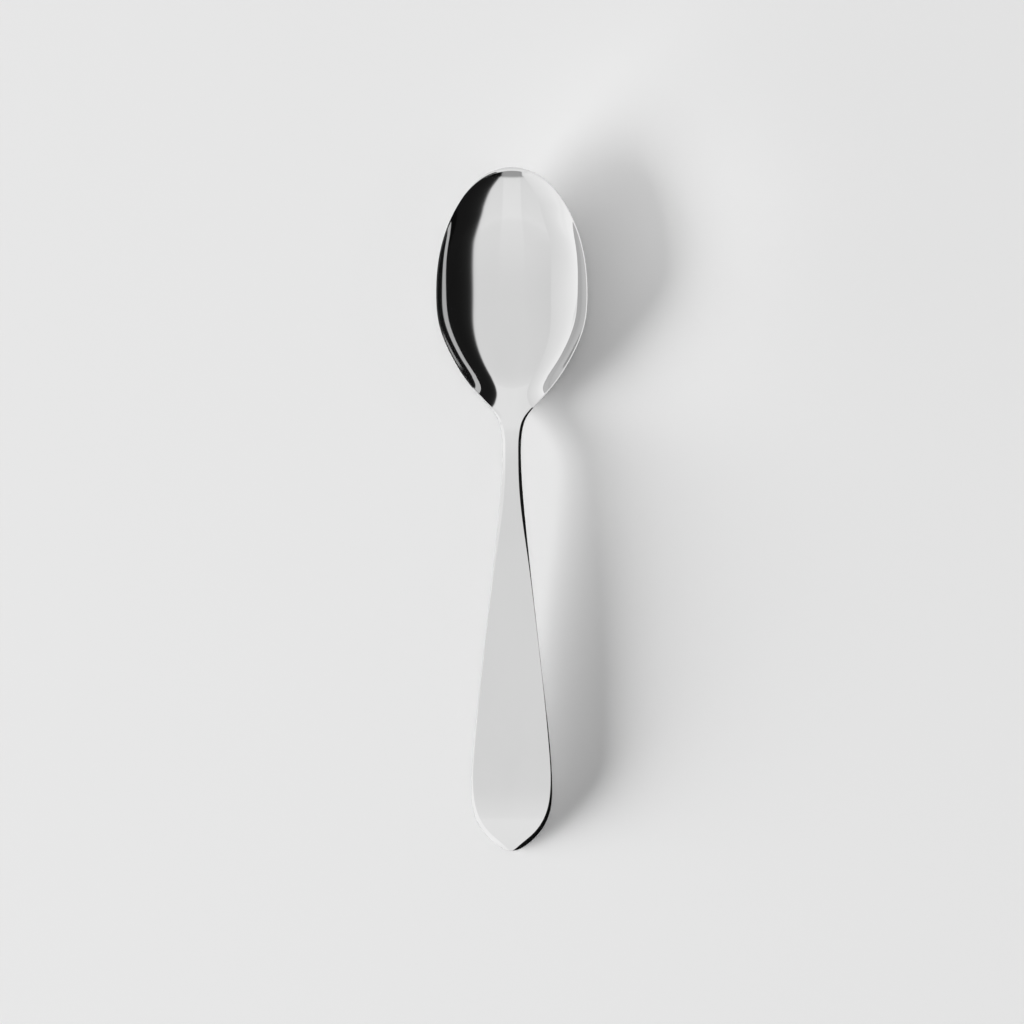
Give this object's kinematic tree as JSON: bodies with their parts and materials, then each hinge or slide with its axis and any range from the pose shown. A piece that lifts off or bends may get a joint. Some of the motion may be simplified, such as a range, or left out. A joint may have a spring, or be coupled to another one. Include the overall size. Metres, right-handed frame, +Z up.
{
  "type": "serving spoon",
  "caption": "Polished steel serving spoon: deep oval bowl on a slim neck that flares into a flat bevelled handle with a pointed, turned-down end.",
  "frame": {"origin": "on the table, under the middle of the spoon's length and width, as it rests bowl up", "axes": "+Y along the spoon towards the front lip of the bowl, +X across it, +Z up out of the bowl"},
  "size_m": [0.0508, 0.23, 0.0145],
  "materials": {
    "polished_steel": "mirror-polished stainless steel"
  },
  "bodies": {
    "root": {"bowl": "polished_steel", "handle": "polished_steel"}
  },
  "joints": []
}
